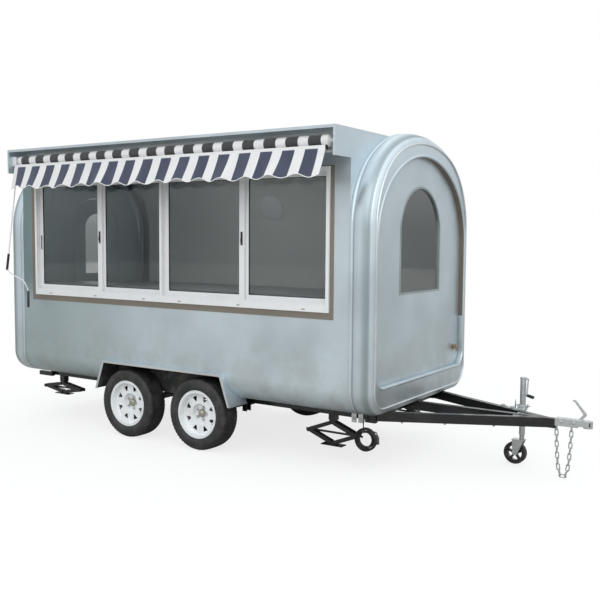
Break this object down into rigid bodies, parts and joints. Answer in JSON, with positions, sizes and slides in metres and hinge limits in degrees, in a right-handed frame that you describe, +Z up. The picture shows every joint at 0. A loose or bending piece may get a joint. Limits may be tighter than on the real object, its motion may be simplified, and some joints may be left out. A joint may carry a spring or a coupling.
{
  "type": "concession trailer",
  "caption": "Round-top food trailer: silver cabin with a long sliding service window, striped roll-out awning, arched end window and door, tandem axles, drawbar, jockey wheel and jacks.",
  "frame": {"origin": "centre of the whole trailer's bounding box in plan, on the ground", "axes": "+X forward to the tow coupling, +Y to the blank side away from the service window, +Z up"},
  "size_m": [5.5922, 2.144, 2.7251],
  "materials": {
    "body_steel": "brushed galvanised sheet",
    "cap_steel": "polished cap moulding",
    "white_frame": "white powder coat",
    "glass": "tinted clear glass",
    "seal": "black rubber seal",
    "black_paint": "black gloss paint",
    "zinc": "zinc plate",
    "tyre": "black rubber",
    "white_wheel": "white enamel",
    "awning_cloth": "woven acrylic, navy and white stripes",
    "white_bar": "white powder coat",
    "cable": "black jacket",
    "worktop": "stainless worktop",
    "floor": "grey floor",
    "lamp": "red lens",
    "trim": "weathered trim strip",
    "steel_dark": "dark underbody paint"
  },
  "bodies": {
    "trailer": {"awning_arms": "white_bar", "awning_box": "body_steel", "awning_cloth": "awning_cloth", "awning_crank": "white_bar", "awning_front_bar": "white_bar", "awning_roller": "white_bar", "axles": "steel_dark", "cabin_floor": "floor", "cable_coil": "cable", "cable_lead": "cable", "cable_plug": "cable", "chassis_rails": "black_paint", "coupling": "zinc", "coupling_lever": "zinc", "cross_members": "black_paint", "door_hinges_frame": "zinc", "dormer_ends": "body_steel", "drain_tap": "zinc", "drawbar_rails": "black_paint", "far_wall": "body_steel", "front_cap": "cap_steel", "front_panel": "body_steel", "front_window_seal": "seal", "jockey_clamp": "zinc", "jockey_crank": "zinc", "jockey_inner_tube": "zinc", "jockey_tube": "zinc", "leaf_springs": "steel_dark", "mudguard_far": "body_steel", "mudguard_near": "body_steel", "rear_cap": "cap_steel", "rear_panel": "body_steel", "roof": "body_steel", "safety_chain": "zinc", "service_wall": "body_steel", "side_vent": "white_bar", "spring_hangers": "black_paint", "stabilisers_front": "black_paint", "stabilisers_rear": "black_paint", "tail_lamps": "lamp", "window_frame": "white_frame", "window_glass": "glass", "window_sashes": "white_frame", "window_trim": "trim", "worktop_panels": "worktop", "worktops": "worktop"},
    "front_near_wheel": {"tyre_front_near": "tyre", "wheel_front_near": "white_wheel"},
    "front_far_wheel": {"tyre_front_far": "tyre", "wheel_front_far": "white_wheel"},
    "rear_near_wheel": {"tyre_rear_near": "tyre", "wheel_rear_near": "white_wheel"},
    "rear_far_wheel": {"tyre_rear_far": "tyre", "wheel_rear_far": "white_wheel"},
    "jockey_fork": {"jockey_fork": "zinc"},
    "jockey_wheel": {"jockey_wheel": "black_paint", "jockey_tyre": "tyre"},
    "rear_door": {"rear_door": "body_steel", "rear_door_glass": "glass", "rear_door_fittings": "zinc"}
  },
  "joints": [
    {"name": "front_near_wheel_spin", "type": "hinge", "parent": "trailer", "child": "front_near_wheel", "pos_m": [-0.30515, -0.75, 0.317], "axis": [0, 1, 0], "continuous": true},
    {"name": "front_far_wheel_spin", "type": "hinge", "parent": "trailer", "child": "front_far_wheel", "pos_m": [-0.30515, 0.95, 0.317], "axis": [0, 1, 0], "continuous": true},
    {"name": "rear_near_wheel_spin", "type": "hinge", "parent": "trailer", "child": "rear_near_wheel", "pos_m": [-1.14315, -0.75, 0.317], "axis": [0, 1, 0], "continuous": true},
    {"name": "rear_far_wheel_spin", "type": "hinge", "parent": "trailer", "child": "rear_far_wheel", "pos_m": [-1.14315, 0.95, 0.317], "axis": [0, 1, 0], "continuous": true},
    {"name": "jockey_swivel", "type": "hinge", "parent": "trailer", "child": "jockey_fork", "pos_m": [2.17285, 0.35802, 0.206], "axis": [0, 0, 1], "continuous": true},
    {"name": "jockey_wheel_spin", "type": "hinge", "parent": "jockey_fork", "child": "jockey_wheel", "pos_m": [2.12085, 0.35802, 0.092], "axis": [0, 1, 0], "continuous": true},
    {"name": "rear_door_hinge", "type": "hinge", "parent": "trailer", "child": "rear_door", "pos_m": [-2.75115, 0.593, 1.3], "axis": [0, 0, -1], "range_deg": [0, 110]}
  ]
}
